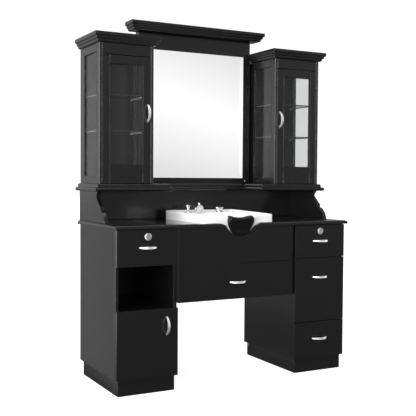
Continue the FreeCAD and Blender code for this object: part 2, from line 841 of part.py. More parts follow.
def hex_nut(top, radius, height, thread_radius):
    """A six-sided nut that hangs below the point top, with its corners at the given radius."""
    corners = []
    for side in range(7):
        angle = math.pi * side / 3
        corners.append(top + Vec(radius * math.cos(angle), radius * math.sin(angle), -height))
    block = Part.Face(Part.makePolygon(corners)).extrude(Vec(0, 0, height))
    return block.cut(cylinder(thread_radius + thread_fit, height, top - Vec(0, 0, height)))


def build_drain():
    y = drain_place()
    thread_bottom = basin_floor - drain_thread_length
    tail_bottom = thread_bottom - drain_tail_length
    points = [(0, basin_floor), (drain_flange_radius, basin_floor),
              (drain_flange_radius - drain_flange_thick, basin_floor + drain_flange_thick),
              (0, basin_floor + drain_flange_thick)]
    flange = revolved(points, Vec(0, y, 0))
    thread = cylinder(drain_radius, drain_thread_length, Vec(0, y, thread_bottom))
    tail = cylinder(drain_tail_radius, drain_tail_length, Vec(0, y, tail_bottom))
    bore = cylinder(drain_tail_radius - drain_wall, basin_floor - tail_bottom - drain_flange_thick,
                    Vec(0, y, tail_bottom))
    fitting = flange.fuse([thread, tail]).cut(bore)
    for index in range(drain_hole_count):
        angle = 2 * math.pi * index / drain_hole_count
        place = Vec(drain_hole_circle * math.cos(angle), y + drain_hole_circle * math.sin(angle),
                    basin_floor - 2 * drain_flange_thick)
        fitting = fitting.cut(cylinder(drain_hole_radius, 4 * drain_flange_thick, place))
    nut = hex_nut(Vec(0, y, basin_floor - basin_shell), drain_nut_radius, drain_nut_height, drain_radius)
    save("drain_fitting", at_bowl(fitting.removeSplitter()), at_bowl(nut))


# Tap: a cold valve, a spray holder and a hot valve on the bowl's back deck

def tap_foot(x, setback, radius):
    """A low dome on the deck, with a threaded shank that goes down through the deck."""
    place = Vec(x, bowl_y1 - setback, deck_z)
    dome = revolved([(0, 0), (radius, 0), (radius * 0.94, tap_base_height * 0.6),
                     (radius * 0.75, tap_base_height), (0, tap_base_height)], place)
    shank = cylinder(tap_shank_radius, tap_shank_length, place - Vec(0, 0, tap_shank_length))
    inlet_end = tap_shank_length + tap_inlet_length
    inlet = cylinder(tap_inlet_radius, tap_inlet_length, place - Vec(0, 0, inlet_end))
    return dome.fuse([shank, inlet])


def tap_nut(x, setback):
    return hex_nut(Vec(x, bowl_y1 - setback, deck_z - bowl_wall), tap_nut_radius, tap_nut_height,
                   tap_shank_radius)


def valve_base(x, lift):
    stem = cylinder(valve_stem_radius, tap_base_height + lift + valve_stem_height - knob_stem_gap,
                    Vec(x, bowl_y1 - tap_setback, deck_z))
    return tap_foot(x, tap_setback, tap_base_radius).fuse(stem).removeSplitter()


def stadium(length, width, z):
    """A closed wire with straight sides and round ends, long in x, about the z axis."""
    straight = (length - width) / 2
    end = width / 2
    edges = [
        line(Vec(-straight, -end, z), Vec(straight, -end, z)),
        arc(Vec(straight, -end, z), Vec(straight + end, 0, z), Vec(straight, end, z)),
        line(Vec(straight, end, z), Vec(-straight, end, z)),
        arc(Vec(-straight, end, z), Vec(-straight - end, 0, z), Vec(-straight, -end, z)),
    ]
    return Part.Wire(edges)


def tap_knob(x, turn, lift):
    """An oblong knob, waisted under its broad top, bored from below for the valve stem."""
    flare = knob_height - knob_rim
    sections = ((0.70, 0), (0.62, 0.35 * flare), (0.68, 0.7 * flare), (0.96, flare))
    body = Part.makeLoft([stadium(knob_length * share, knob_width * share, rise)
                          for share, rise in sections], True, False)
    top = Part.Face(stadium(knob_length, knob_width, flare)).extrude(Vec(0, 0, knob_rim))
    top = top.makeFillet(knob_round, [edge for edge in top.Edges if edge.BoundBox.ZMin > knob_height - 0.001])
    bore = cylinder(valve_stem_radius + knob_fit, valve_stem_height, Vec(0, 0, 0))
    knob = body.fuse(top).cut(bore).removeSplitter()
    knob.rotate(Vec(0, 0, 0), Vec(0, 0, 1), turn)
    knob.translate(Vec(x, bowl_y1 - tap_setback, deck_z + tap_base_height + knob_lift + lift))
    return knob


def spray_frame(shape):
    """Carry a shape made about the spray's own level axis to the holder on the deck."""
    shape.translate(Vec(spray_x, bowl_y1 - spray_setback, deck_z + spray_axis_height))
    return shape


def spray_holder():
    bore_radius = spray_neck_radius + spray_fit
    ring = cylinder(bore_radius + spray_ring, spray_ring_length, Vec(0, -spray_ring_length / 2, 0),
                    Vec(0, 1, 0))
    bore = cylinder(bore_radius, 2 * spray_ring_length, Vec(0, -spray_ring_length, 0), Vec(0, 1, 0))
    post = cylinder(spray_post_radius, spray_axis_height, Vec(spray_x, bowl_y1 - spray_setback, deck_z))
    holder = tap_foot(spray_x, spray_setback, spray_foot_radius).fuse([spray_frame(ring), post])
    return holder.cut(spray_frame(bore)).removeSplitter()


def spray_head():
    """The shower head: a neck that lies in the holder, a collar, a bell, a face and a button on top."""
    ring_front = -spray_ring_length / 2
    bell_start = ring_front - spray_reach
    face_start = bell_start - spray_bell_length
    neck = cylinder(spray_neck_radius, spray_neck_length + spray_reach, Vec(0, bell_start, 0), Vec(0, 1, 0))
    collar = cylinder(spray_neck_radius + spray_ring, spray_collar, Vec(0, ring_front, 0), Vec(0, -1, 0))
    bell = Part.makeCone(spray_neck_radius, spray_head_radius, spray_bell_length,
                         Vec(0, bell_start, 0), Vec(0, -1, 0))
    face = cylinder(spray_head_radius, spray_face_length, Vec(0, face_start, 0), Vec(0, -1, 0))
    button = cylinder(spray_button_radius, spray_head_radius + spray_button_rise,
                      Vec(0, face_start + spray_button_back, 0))
    return spray_frame(bell.fuse([neck, collar, face, button]).removeSplitter())


def build_tap():
    nuts = [tap_nut(x, setback) for x, setback in tap_places]
    save("tap_bases", valve_base(cold_x, cold_lift), spray_holder(), valve_base(hot_x, hot_lift), *nuts)
    save("cold_knob", tap_knob(cold_x, cold_knob_turn, cold_lift))
    save("hot_knob", tap_knob(hot_x, hot_knob_turn, hot_lift))
    save("spray_head", spray_head())


# Riser and ledge

def scroll_bracket():
    """The left bracket: a board whose front edge runs from a rounded foot up to a cove."""
    x = -half_body

    def spot(y, z):
        return Vec(x, front_y + y, z)

    foot = spot(bracket_foot, counter_top)
    step_low = spot(bracket_step, bracket_step_z)
    step_high = spot(bracket_elbow, bracket_step_z)
    elbow = spot(bracket_elbow, bracket_elbow_z)
    cove = spot(bracket_cove, bracket_cove_z)
    top = spot(bracket_top, ledge_bottom)
    belly = spot((bracket_foot * 0.62 + bracket_step * 0.38),
                 counter_top + (bracket_step_z - counter_top) * 0.6)
    hollow = spot(bracket_top + (bracket_cove - bracket_top) * 0.71,
                  bracket_cove_z + (ledge_bottom - bracket_cove_z) * 0.66)
    edges = [
        arc(foot, belly, step_low), line(step_low, step_high), line(step_high, elbow),
        line(elbow, cove), arc(cove, hollow, top),
        line(top, Vec(x, upper_back, ledge_bottom)),
        line(Vec(x, upper_back, ledge_bottom), Vec(x, upper_back, counter_top)),
        line(Vec(x, upper_back, counter_top), foot),
    ]
    return Part.Face(Part.Wire(edges)).extrude(Vec(bracket_thick, 0, 0))


def ledge_plan(inset, z0, thick):
    """The U-shaped board: two wings under the cabinets and a shallow run under the mirror."""
    outer = cabinet_x1 + 2 * ledge_step - inset
    inner = cabinet_x0 - ledge_wing + inset
    wing_y = cabinet_front_y - 2 * ledge_step + inset
    centre_y = front_y + ledge_centre_front + inset
    places = [(-outer, upper_back), (-outer, wing_y), (-inner, wing_y), (-inner, centre_y),
              (inner, centre_y), (inner, wing_y), (outer, wing_y), (outer, upper_back)]
    outline = [Vec(x, y, z0) for x, y in places + places[:1]]
    return Part.Face(Part.makePolygon(outline)).extrude(Vec(0, 0, thick))


def build_riser():
    bracket = scroll_bracket()
    save("scroll_brackets", bracket, mirrored(bracket))
    inside = half_body - bracket_thick
    save("riser_back", board(-inside, inside, upper_back - panel, upper_back, counter_top, ledge_bottom))
    lower = ledge_plan(0, ledge_bottom, ledge_board_thick)
    rims = top_edges(lower, ledge_bottom, upper_back) + top_edges(lower, ledge_mid, upper_back)
    save("ledge_board", lower.makeFillet(ledge_nose, rims))
    upper = ledge_plan(ledge_step, ledge_mid, ledge_bead_thick)
    save("ledge_bead", upper.makeFillet(bead_cove, top_edges(upper, ledge_top, upper_back)))


# Cabinets, drawn on the right and mirrored to the left

def cabinet_side_frame(x0):
    """Two stiles and two rails, grooved for a pane, and the pane."""
    x1 = x0 + cabinet_side
    y0 = cabinet_front_y + side_front_stile
    y1 = upper_back - side_rear_stile
    low = ledge_top + side_bottom_rail
    high = cabinet_top_z - side_top_rail
    boards = [
        board(x0, x1, cabinet_front_y, y0, ledge_top, cabinet_top_z),
        board(x0, x1, y1, upper_back, ledge_top, cabinet_top_z),
        board(x0, x1, y0, y1, ledge_top, low),
        board(x0, x1, y0, y1, high, cabinet_top_z),
    ]
    slot = x0 + (cabinet_side - pane_thick) / 2
    pane = board(slot, slot + pane_thick, y0 - pane_lip, y1 + pane_lip, low - pane_lip, high + pane_lip)
    return [piece.cut(pane) for piece in boards], pane


def cabinet_shelf(z0):
    gap = cabinet_side + shelf_side_gap
    return board(cabinet_x0 + gap, cabinet_x1 - gap,
                 cabinet_front_y + door_recess + door_thick + shelf_front_gap,
                 upper_back - back_panel - shelf_side_gap, z0, z0 + shelf_thick)


def shelf_pins(z0):
    pins = []
    front = cabinet_front_y + door_recess + door_thick + shelf_front_gap + shelf_pin_radius
    back = upper_back - shelf_pin_inset
    z = z0 - shelf_pin_radius
    for y in (front, back):
        pins.append(cylinder(shelf_pin_radius, shelf_pin_length,
                             Vec(cabinet_x0 + cabinet_side, y, z), Vec(1, 0, 0)))
        pins.append(cylinder(shelf_pin_radius, shelf_pin_length,
                             Vec(cabinet_x1 - cabinet_side, y, z), Vec(-1, 0, 0)))
    return pins


def cornice_profile(x, y, z0):
    """The crown's section at the start of its run: three rounded steps under a square cap."""
    rise = (cornice_height - cornice_cap) / 3
    run = (cornice_reach - cornice_foot) / 3
    edges = []
    place = Vec(x, y, z0)
    here = Vec(x - cornice_foot, y, z0)
    edges.append(line(place, here))
    for index in range(3):
        out = Vec(here.x - run, y, here.z + rise * 0.7)
        bend = Vec(here.x - run * 0.78, y, here.z + rise * 0.22)
        lip = Vec(out.x, y, here.z + rise)
        edges.append(arc(here, bend, out))
        edges.append(line(out, lip))
        here = lip
    cap = Vec(here.x, y, z0 + cornice_height)
    close = Vec(x, y, z0 + cornice_height)
    edges += [line(here, cap), line(cap, close), line(close, place)]
    return Part.Wire(edges)


def cornice(x0, x1, y0, z0, left_end):
    """A crown mitred round three sides of a block; its left return ends at left_end."""
    path = Part.makePolygon([Vec(x0, left_end, z0), Vec(x0, y0, z0), Vec(x1, y0, z0),
                             Vec(x1, upper_back, z0)])
    sweep = Part.BRepOffsetAPI.MakePipeShell(path)
    sweep.setTransitionMode(1)
    sweep.add(cornice_profile(x0, left_end, z0), False, False)
    sweep.build()
    sweep.makeSolid()
    core = board(x0, x1, y0, upper_back, z0, z0 + cornice_height)
    return sweep.shape().fuse(core).removeSplitter()


def build_cabinets():
    inner, inner_pane = cabinet_side_frame(cabinet_x0)
    outer, outer_pane = cabinet_side_frame(cabinet_x1 - cabinet_side)
    frames = inner + outer
    save("cabinet_sides", *frames, *[mirrored(piece) for piece in frames])
    save("side_panes", mirrored(outer_pane), mirrored(inner_pane), inner_pane, outer_pane)
    x0 = cabinet_x0 + cabinet_side
    x1 = cabinet_x1 - cabinet_side
    back = board(x0, x1, upper_back - back_panel, upper_back, ledge_top, cabinet_top_z)
    save("cabinet_backs", mirrored(back), back)
    frieze_back = cabinet_front_y + frieze_thick
    top = board(x0, x1, frieze_back, upper_back - back_panel,
                cabinet_top_z - cabinet_top_board, cabinet_top_z)
    save("cabinet_tops", mirrored(top), top)
    frieze = board(x0, x1, cabinet_front_y, frieze_back, frieze_bottom, cabinet_top_z)
    save("frieze_rails", mirrored(frieze), frieze)
    crown = cornice(cabinet_x0, cabinet_x1, cabinet_front_y, cabinet_top_z, mirror_board_front)
    save("cabinet_cornices", mirrored(crown), crown)
    shelves = []
    pins = []
    for z0 in (shelf_low_z, shelf_high_z):
        shelf = cabinet_shelf(z0)
        shelves += [mirrored(shelf), shelf]
        for pin in shelf_pins(z0):
            pins += [mirrored(pin), pin]
    save("glass_shelves", *shelves)
    save("shelf_pins", *pins)


def cabinet_door():
    """The right cabinet's door: its stiles and rails, its pane and its handle."""
    x0 = cabinet_x0 + cabinet_side + door_gap
    x1 = cabinet_x1 - cabinet_side - door_gap
    y0 = cabinet_front_y + door_recess
    y1 = y0 + door_thick
    z0 = ledge_top + door_floor_gap
    left = x0 + door_lock_stile
    right = x1 - door_hinge_stile
    low = z0 + door_bottom_rail
    high = cabinet_door_top - door_top_rail
    hinge_stile = board(right, x1, y0, y1, z0, cabinet_door_top)
    hole = pivot_length - door_floor_gap + pivot_end_play
    pivot = Vec(x1 - cabinet_pivot_inset, y0 + cabinet_pivot_depth, 0)
    for bottom in (z0, cabinet_door_top - hole):
        hinge_stile = hinge_stile.cut(cylinder(pivot_radius + pivot_fit, hole, pivot + Vec(0, 0, bottom)))
    boards = [
        board(x0, left, y0, y1, z0, cabinet_door_top),
        hinge_stile,
        board(left, right, y0, y1, z0, low),
        board(left, right, y0, y1, high, cabinet_door_top),
    ]
    pane_y = y0 + door_pane_depth
    pane = board(left - pane_lip, right + pane_lip, pane_y, pane_y + pane_thick,
                 low - pane_lip, high + pane_lip)
    handle = place_handle(x0 + cabinet_handle_inset, y0, cabinet_handle_z, True)
    return [piece.cut(pane) for piece in boards], pane, handle


def build_cabinet_doors():
    frame, pane, handle = cabinet_door()
    save("right_door_frame", *frame)
    save("right_door_pane", pane)
    save("right_door_handle", handle)
    save("left_door_frame", *[mirrored(piece) for piece in frame])
    save("left_door_pane", mirrored(pane))
    save("left_door_handle", mirrored(handle))


# Mirror

def bevelled_glass():
    half = mirror_half - mirror_side_border
    face = mirror_board_front - mirror_thick
    rim = mirror_board_front - mirror_edge

    def outline(inset, y):
        x = half - inset
        low = ledge_top + mirror_low_border + inset
        high = mirror_top_z - mirror_high_border - inset
        return Part.makePolygon([Vec(-x, y, low), Vec(x, y, low), Vec(x, y, high), Vec(-x, y, high),
                                 Vec(-x, y, low)])

    return Part.makeLoft([outline(0, mirror_board_front), outline(0, rim), outline(mirror_bevel, face)],
                         True, True)


def build_mirror():
    save("mirror_back", board(-cabinet_x0, cabinet_x0, mirror_board_back, upper_back,
                              ledge_top, cabinet_top_z))
    low = board(-mirror_half, mirror_half, mirror_board_front, mirror_board_back, ledge_top, mirror_top_z)
    high = board(-mirror_half, mirror_half, mirror_board_back, upper_back, cabinet_top_z, mirror_top_z)
    save("mirror_board", low.fuse(high).removeSplitter())
    save("mirror_glass", bevelled_glass())
    wide = mirror_half + centre_soffit
    save("centre_cornice", cornice(-wide, wide, mirror_board_front - centre_soffit, mirror_top_z, upper_back))


os.makedirs("parts", exist_ok=True)
build_pedestals()
build_apron()
build_counter()
build_drawers()
build_pivots()
build_base_door()
build_bowl()
build_neck_rest()
build_drain()
build_tap()
build_riser()
build_cabinets()
build_cabinet_doors()
build_mirror()
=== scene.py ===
"""Salon shampoo station: finishes, soft forms, small fittings, studio light and the photo's camera."""

import json
import math

import bmesh
import bpy
from mathutils import Matrix, Vector


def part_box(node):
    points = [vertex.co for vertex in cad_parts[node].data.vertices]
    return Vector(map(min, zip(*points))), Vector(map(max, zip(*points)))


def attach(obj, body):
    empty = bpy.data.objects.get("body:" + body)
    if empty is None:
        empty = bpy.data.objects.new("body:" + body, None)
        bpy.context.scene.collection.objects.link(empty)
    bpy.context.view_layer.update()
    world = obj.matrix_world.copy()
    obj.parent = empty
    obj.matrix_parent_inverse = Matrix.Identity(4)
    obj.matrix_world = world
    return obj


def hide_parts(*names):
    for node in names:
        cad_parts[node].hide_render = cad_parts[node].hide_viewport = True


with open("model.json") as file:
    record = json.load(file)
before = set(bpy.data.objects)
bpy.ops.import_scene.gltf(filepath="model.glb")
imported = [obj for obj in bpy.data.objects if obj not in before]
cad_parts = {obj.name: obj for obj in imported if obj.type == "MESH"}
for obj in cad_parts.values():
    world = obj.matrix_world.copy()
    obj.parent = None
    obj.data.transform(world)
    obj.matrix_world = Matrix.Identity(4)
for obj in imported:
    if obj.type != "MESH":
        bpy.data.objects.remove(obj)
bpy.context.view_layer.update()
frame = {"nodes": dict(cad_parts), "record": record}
nodes = frame["nodes"]
slot_of = {item["node"]: item["material_slot"] for item in frame["record"]["subparts"]}
scene = bpy.context.scene

# Camera, solved from the straight edges in the photograph
camera_place = Vector((-2.1037, -3.8419, 1.106))
camera_yaw = math.radians(28.109)
camera_dip = math.radians(2.257)
camera_roll = math.radians(0.357)
camera_lens = 66.77
camera_sensor = 36
camera_near = 0.05
camera_far = 200

# Edge roundings in metres
board_edge = 0.0024
moulding_edge = 0.0006
frame_edge = 0.0018
soft_edge = 0.003
edge_segments = 2
outer_edge = 0.0045
outer_edge_segments = 4
inner_edge_share = 0.15
smooth_limit = math.radians(35)
flat_limit = math.radians(0.5)
weld_distance = 0.00001

# Edges that get the outer rounding: their distance from the middle, their slant and how far forward they lie
end_edge_start = 0.7
corner_edge_start = 0.3
upright_share = 0.9
front_edge_limit = -0.002

# Apron's lower back edge
apron_lip = 0.0027

# Bowl rim, which dips towards the neck rest
rim_dip = 0.016
rim_dip_start = 0.868
rim_dip_rise = 0.03
rim_dip_depth = 0.2
rim_dip_reach = 0.5

# Neck rest
rest_voxel = 0.0022
rest_relax = 0.5
rest_smoothing = 14
rest_settle = 0.015
rest_settle_top = 0.88
rest_settle_fade = 0.05

# Laminate
laminate_black = (0.005, 0.005, 0.005)
laminate_specular = 0.5
laminate_roughness = 0.25
laminate_wear = 0.02
laminate_grain = 0.000003
laminate_grain_scale = 900
gloss_roughness = 0.14
gloss_grain = 0.000002
riser_roughness = 0.21
riser_specular = 0.66

# Noise detail of a finish's uneven gloss and of its grain
wear_detail = 5
grain_detail = 3

# Beech
beech_dark = (0.52, 0.35, 0.2, 1)
beech_light = (0.66, 0.48, 0.31, 1)
beech_roughness = 0.45
beech_scale = 60
beech_detail = 6
beech_stretch = (1, 0.05, 1)

# Glass; the shelves' ends carry painted light by (place, level), from 1 m left of the middle at 0 to 1 m
# right of it at 1, lightest at the right-hand ends of the left cabinet's shelves
pane_tint = (0.9, 0.905, 0.902, 1)
pane_ior = 1.45
pane_gloss = 0.5
pane_roughness = 0.015
pane_haze = 0.005
shelf_ior = 1.5
shelf_gloss = 0.45
shelf_roughness = 0.03
shelf_cut_slope = 0.5
shelf_front_tint = (0.02, 0.024, 0.023, 1)
shelf_end_painted_light = ((0.0, 0.1), (0.18, 0.1), (0.25, 0.4), (0.4, 0.4), (0.6, 0.08), (1.0, 0.08))

# Mirror: the silver, and a painted glow laid over it in place of its reflection, with painted shade and
# painted light on its bevels
silver_tint = (0.955, 0.96, 0.958, 1)
painted_glow_share = 0.97
painted_glow_level = 1.06
painted_glow_fall = 0.66
painted_glow_height = 1.512
painted_glow_slope = 0.267
bevel_slope = 0.02
left_bevel_painted_shade = -0.13
right_bevel_painted_light = 0.12

# Studio light levels; 1 is white
white_level = 1.05
far_left_level = 8.5
far_right_level = 5.5
front_level = 0.45
back_left_level = 0.7
back_level = 0.35
soft_box_level = 2.5
high_level = 0.42
overhead_level = 3.4

# Studio lights as (place, level), from the far left at 0 to the far right at 1
front_lights = ((0.0, far_left_level), (0.14, far_left_level), (0.24, front_level), (0.89, front_level),
                (0.96, far_right_level))
back_lights = ((0.0, far_left_level), (0.05, far_left_level), (0.15, back_left_level),
               (0.38, back_left_level), (0.5, back_level), (0.93, back_level), (0.97, far_right_level))
high_lights = ((0.0, soft_box_level), (0.4, soft_box_level), (0.52, high_level), (1.0, high_level))

# Share of the high lights, and the lamp overhead, by height: level is 0 and straight up is 1
high_share = ((0.0, 0.0), (0.2, 0.0), (0.4, 1.0))
overhead_lights = ((0.0, 0.0), (0.9, 0.0), (0.95, overhead_level))

# Floor; its left lights go by (place, level), from 2 m left of the middle at 0 to 2 m right of it at 1
floor_reach = 40
floor_seen_level = 0.9
floor_seen_tint = (0.3, 0.3, 0.3, 1)
floor_far_left_level = 6.0
floor_left_level = 0.4
floor_level = 0.18
floor_behind_level = 0.14
floor_front_line = -0.35
floor_back_line = 0.35
floor_span_share = 0.25
floor_left_lights = ((0.0, floor_left_level), (0.29, floor_left_level), (0.37, 0.0), (1.0, 0.0))
floor_far_left_lights = ((0.0, floor_far_left_level), (0.15, 0.0), (1.0, 0.0))

# Small fittings in metres
spray_head_radius = 0.025
spray_plate = ((0.0205, 0.0), (0.0205, 0.0006), (0.0195, 0.0012), (0.0150, 0.0013), (0.0146, 0.0007),
               (0.0138, 0.0007), (0.0134, 0.0014), (0.0004, 0.0018))
spray_ring = ((0.0152, 0.0004), (0.0148, 0.0018), (0.0128, 0.0020), (0.0124, 0.0012))
spray_sides = 48
nozzle = ((0.0012, 0.0008), (0.0009, 0.0026))
nozzle_sides = 10
nozzle_rings = ((0.0045, 6), (0.0092, 12), (0.0178, 20))
index_button = ((0.0036, -0.002), (0.0036, 0.0003), (0.0028, 0.0008), (0.0004, 0.001))
index_drop = 0.0082
index_reach = 0.0126
index_tilt = math.radians(34)
hot_turn = math.radians(-10)
cold_turn = math.radians(48)
screw_head = ((0.0042, 0.0), (0.0042, 0.0009), (0.0031, 0.0020), (0.0004, 0.0023))
handle_screw_reach = 0.0445
drawer_wall = 0.015
mirror_screw_right = 0.3405
mirror_screw_rise = 0.016

# Nodes by the way they are finished
drawers = ("left_drawer", "wide_drawer", "right_top_drawer", "right_middle_drawer", "right_bottom_drawer")
glass_doors = ("left_door", "right_door")
fronts = {drawer + "_front" for drawer in drawers} | {"base_door", "apron"}
framed = {door + "_frame" for door in glass_doors}
moulded = {"cabinet_cornices", "centre_cornice", "countertop", "ledge_board", "ledge_bead", "scroll_brackets"}
crisp = {"mirror_glass", "side_panes", "left_door_pane", "right_door_pane", "glass_shelves", "bowl",
         "neck_rest", "drain_fitting", "tap_bases", "spray_head", "cold_knob", "hot_knob", "shelf_pins",
         "pivot_hinges"}


# Node trees

def add(tree, kind, **values):
    """A new node; each value goes to the input of that name."""
    node = tree.nodes.new(kind)
    for name, value in values.items():
        node.inputs[name.replace("_", " ")].default_value = value
    return node


def join(tree, out_node, out_name, in_node, in_name):
    tree.links.new(out_node.outputs[out_name], in_node.inputs[in_name])


def feed(tree, value, socket):
    """Sets a socket to a number, or links it to another node's socket."""
    if isinstance(value, (int, float)):
        socket.default_value = value
    else:
        tree.links.new(value, socket)


def maths(tree, operation, *values):
    """A math node on sockets or numbers. Returns its output socket."""
    node = tree.nodes.new("ShaderNodeMath")
    node.operation = operation
    for value, socket in zip(values, node.inputs):
        feed(tree, value, socket)
    return node.outputs[0]


def product(tree, *values):
    """All the sockets or numbers, multiplied in turn."""
    result = values[0]
    for value in values[1:]:
        result = maths(tree, "MULTIPLY", result, value)
    return result


def scaled(tree, value, factor, shift):
    """The socket's value times the factor, plus the shift."""
    return maths(tree, "ADD", maths(tree, "MULTIPLY", value, factor), shift)


def within(tree, value):
    """Holds a socket between 0 and 1."""
    return maths(tree, "MINIMUM", maths(tree, "MAXIMUM", value, 0.0), 1.0)


def parts_of(tree, node, output):
    """Splits a node's vector. Returns the sockets X, Y and Z."""
    split = tree.nodes.new("ShaderNodeSeparateXYZ")
    join(tree, node, output, split, "Vector")
    return split.outputs


def ramp(tree, value, stops):
    """A grey ramp of (place, level) stops, read at the given socket."""
    node = tree.nodes.new("ShaderNodeValToRGB")
    elements = node.color_ramp.elements
    while len(elements) < len(stops):
        elements.new(0.5)
    for element, (place, level) in zip(elements, stops):
        element.position = place
        element.color = (level, level, level, 1)
    tree.links.new(value, node.inputs["Fac"])
    return node.outputs["Color"]


def blend(tree, share, first, second):
    """Goes from first to second as share goes from 0 to 1; each is a socket or a number."""
    node = tree.nodes.new("ShaderNodeMix")
    tree.links.new(share, node.inputs["Factor"])
    feed(tree, first, node.inputs["A"])
    feed(tree, second, node.inputs["B"])
    return node.outputs["Result"]


def mix_shaders(tree, share, first, second):
    """Goes from the first shader to the second as share, a socket or a number, goes from 0 to 1."""
    node = tree.nodes.new("ShaderNodeMixShader")
    feed(tree, share, node.inputs["Fac"])
    tree.links.new(first, node.inputs[1])
    tree.links.new(second, node.inputs[2])
    return node.outputs["Shader"]


# Materials

def new_material(name):
    """An empty material. Returns it with its node tree and the socket that takes its shader."""
    material = bpy.data.materials.new(name)
    material.use_nodes = True
    tree = material.node_tree
    tree.nodes.clear()
    output = tree.nodes.new("ShaderNodeOutputMaterial")
    return material, tree, output.inputs["Surface"]


def noise(tree, scale, detail, stretch=(1, 1, 1)):
    """A noise texture in the object's own metres. Returns its output socket."""
    coordinates = tree.nodes.new("ShaderNodeTexCoord")
    mapping = add(tree, "ShaderNodeMapping", Scale=stretch)
    texture = add(tree, "ShaderNodeTexNoise", Scale=scale, Detail=detail)
    join(tree, coordinates, "Object", mapping, "Vector")
    join(tree, mapping, "Vector", texture, "Vector")
    return texture.outputs["Fac"]


def spread(tree, value, low, high):
    """Maps a 0 to 1 socket to the range low to high."""
    node = add(tree, "ShaderNodeMapRange", To_Min=low, To_Max=high)
    tree.links.new(value, node.inputs["Value"])
    return node.outputs["Result"]


def bump(tree, value, height, shader, edge):
    """Raises the surface by the given height in metres where the value is 1, and softens its edges."""
    node = add(tree, "ShaderNodeBump", Strength=1.0, Distance=height)
    tree.links.new(value, node.inputs["Height"])
    if edge:
        join(tree, add(tree, "ShaderNodeBevel", Radius=edge), "Normal", node, "Normal")
    join(tree, node, "Normal", shader, "Normal")


def principled(name, base, roughness, specular=0.5, metallic=0.0, wear=0.0, wear_scale=7.0, grain=0.0,
               grain_scale=700.0, edge=0.0):
    """A plain finish with slight unevenness in its gloss and a fine grain."""
    material, tree, surface = new_material(name)
    shader = add(tree, "ShaderNodeBsdfPrincipled", Base_Color=(*base, 1), Metallic=metallic,
                 Roughness=roughness, Specular_IOR_Level=specular)
    if wear:
        patches = spread(tree, noise(tree, wear_scale, wear_detail), roughness - wear, roughness + wear)
        tree.links.new(patches, shader.inputs["Roughness"])
    if grain:
        bump(tree, noise(tree, grain_scale, grain_detail), grain, shader, edge)
    tree.links.new(shader.outputs["BSDF"], surface)
    return material


def laminate(name, roughness, specular, grain, edge=0.0):
    """Black laminate with a fine grain, and soft edges where a width is given."""
    return principled(name, laminate_black, roughness, specular=specular, wear=laminate_wear, grain=grain,
                      grain_scale=laminate_grain_scale, edge=edge)


def both_sides_fresnel(tree, ior):
    """The share of light a sheet's face reflects, the same from inside as from outside."""
    geometry = tree.nodes.new("ShaderNodeNewGeometry")
    share = tree.nodes.new("ShaderNodeFresnel")
    inside_out = scaled(tree, geometry.outputs["Backfacing"], 1 / ior - ior, ior)
    tree.links.new(inside_out, share.inputs["IOR"])
    return share.outputs["Fac"]


def thin_glass(tree, clear, ior, gloss, roughness):
    """Lays a weak reflection, stronger at a slant, over a see-through shader."""
    shine = add(tree, "ShaderNodeBsdfGlossy", Color=(1, 1, 1, 1), Roughness=roughness)
    share = product(tree, both_sides_fresnel(tree, ior), gloss)
    return mix_shaders(tree, share, clear, shine.outputs["BSDF"])


def pane_material():
    """Clear sheet glass: light passes with a slight tint and haze, under a thin reflection."""
    material, tree, surface = new_material("clear_pane")
    clear = add(tree, "ShaderNodeBsdfTransparent", Color=pane_tint)
    haze = add(tree, "ShaderNodeBsdfDiffuse", Color=(1, 1, 1, 1))
    body = mix_shaders(tree, pane_haze, clear.outputs["BSDF"], haze.outputs["BSDF"])
    tree.links.new(thin_glass(tree, body, pane_ior, pane_gloss, pane_roughness), surface)
    return material


def mirror_material():
    """Silvered glass under a painted glow: emission laid across it as a slanting band in place of a
    reflection, with painted shade on its left bevel and painted light on its right bevel.
    """
    material, tree, surface = new_material("mirror")
    silver = add(tree, "ShaderNodeBsdfPrincipled", Base_Color=silver_tint, Metallic=1.0, Roughness=0.0)
    geometry = tree.nodes.new("ShaderNodeNewGeometry")
    place = parts_of(tree, geometry, "Position")
    facing = parts_of(tree, geometry, "True Normal")
    # Painted glow: its strength is set by place, brightest along a slanting band and falling off away from
    # it, in place of the mirror's reflection
    middle = scaled(tree, place["X"], -painted_glow_slope, painted_glow_height)
    away = maths(tree, "ABSOLUTE", maths(tree, "SUBTRACT", place["Z"], middle))
    level = scaled(tree, away, -painted_glow_fall, painted_glow_level)
    # Painted shade on the bevel facing left and painted light on the bevel facing right, set by which way
    # each faces
    left = maths(tree, "LESS_THAN", facing["X"], -bevel_slope)
    right = maths(tree, "GREATER_THAN", facing["X"], bevel_slope)
    left_bevel = scaled(tree, left, left_bevel_painted_shade, 1.0)
    right_bevel = scaled(tree, right, right_bevel_painted_light, 1.0)
    glow = tree.nodes.new("ShaderNodeEmission")
    tree.links.new(product(tree, level, left_bevel, right_bevel), glow.inputs["Strength"])
    # The painted glow makes up nearly all of the surface, so the mirror glows though it is no lamp
    shader = mix_shaders(tree, painted_glow_share, silver.outputs["BSDF"], glow.outputs["Emission"])
    tree.links.new(shader, surface)
    return material


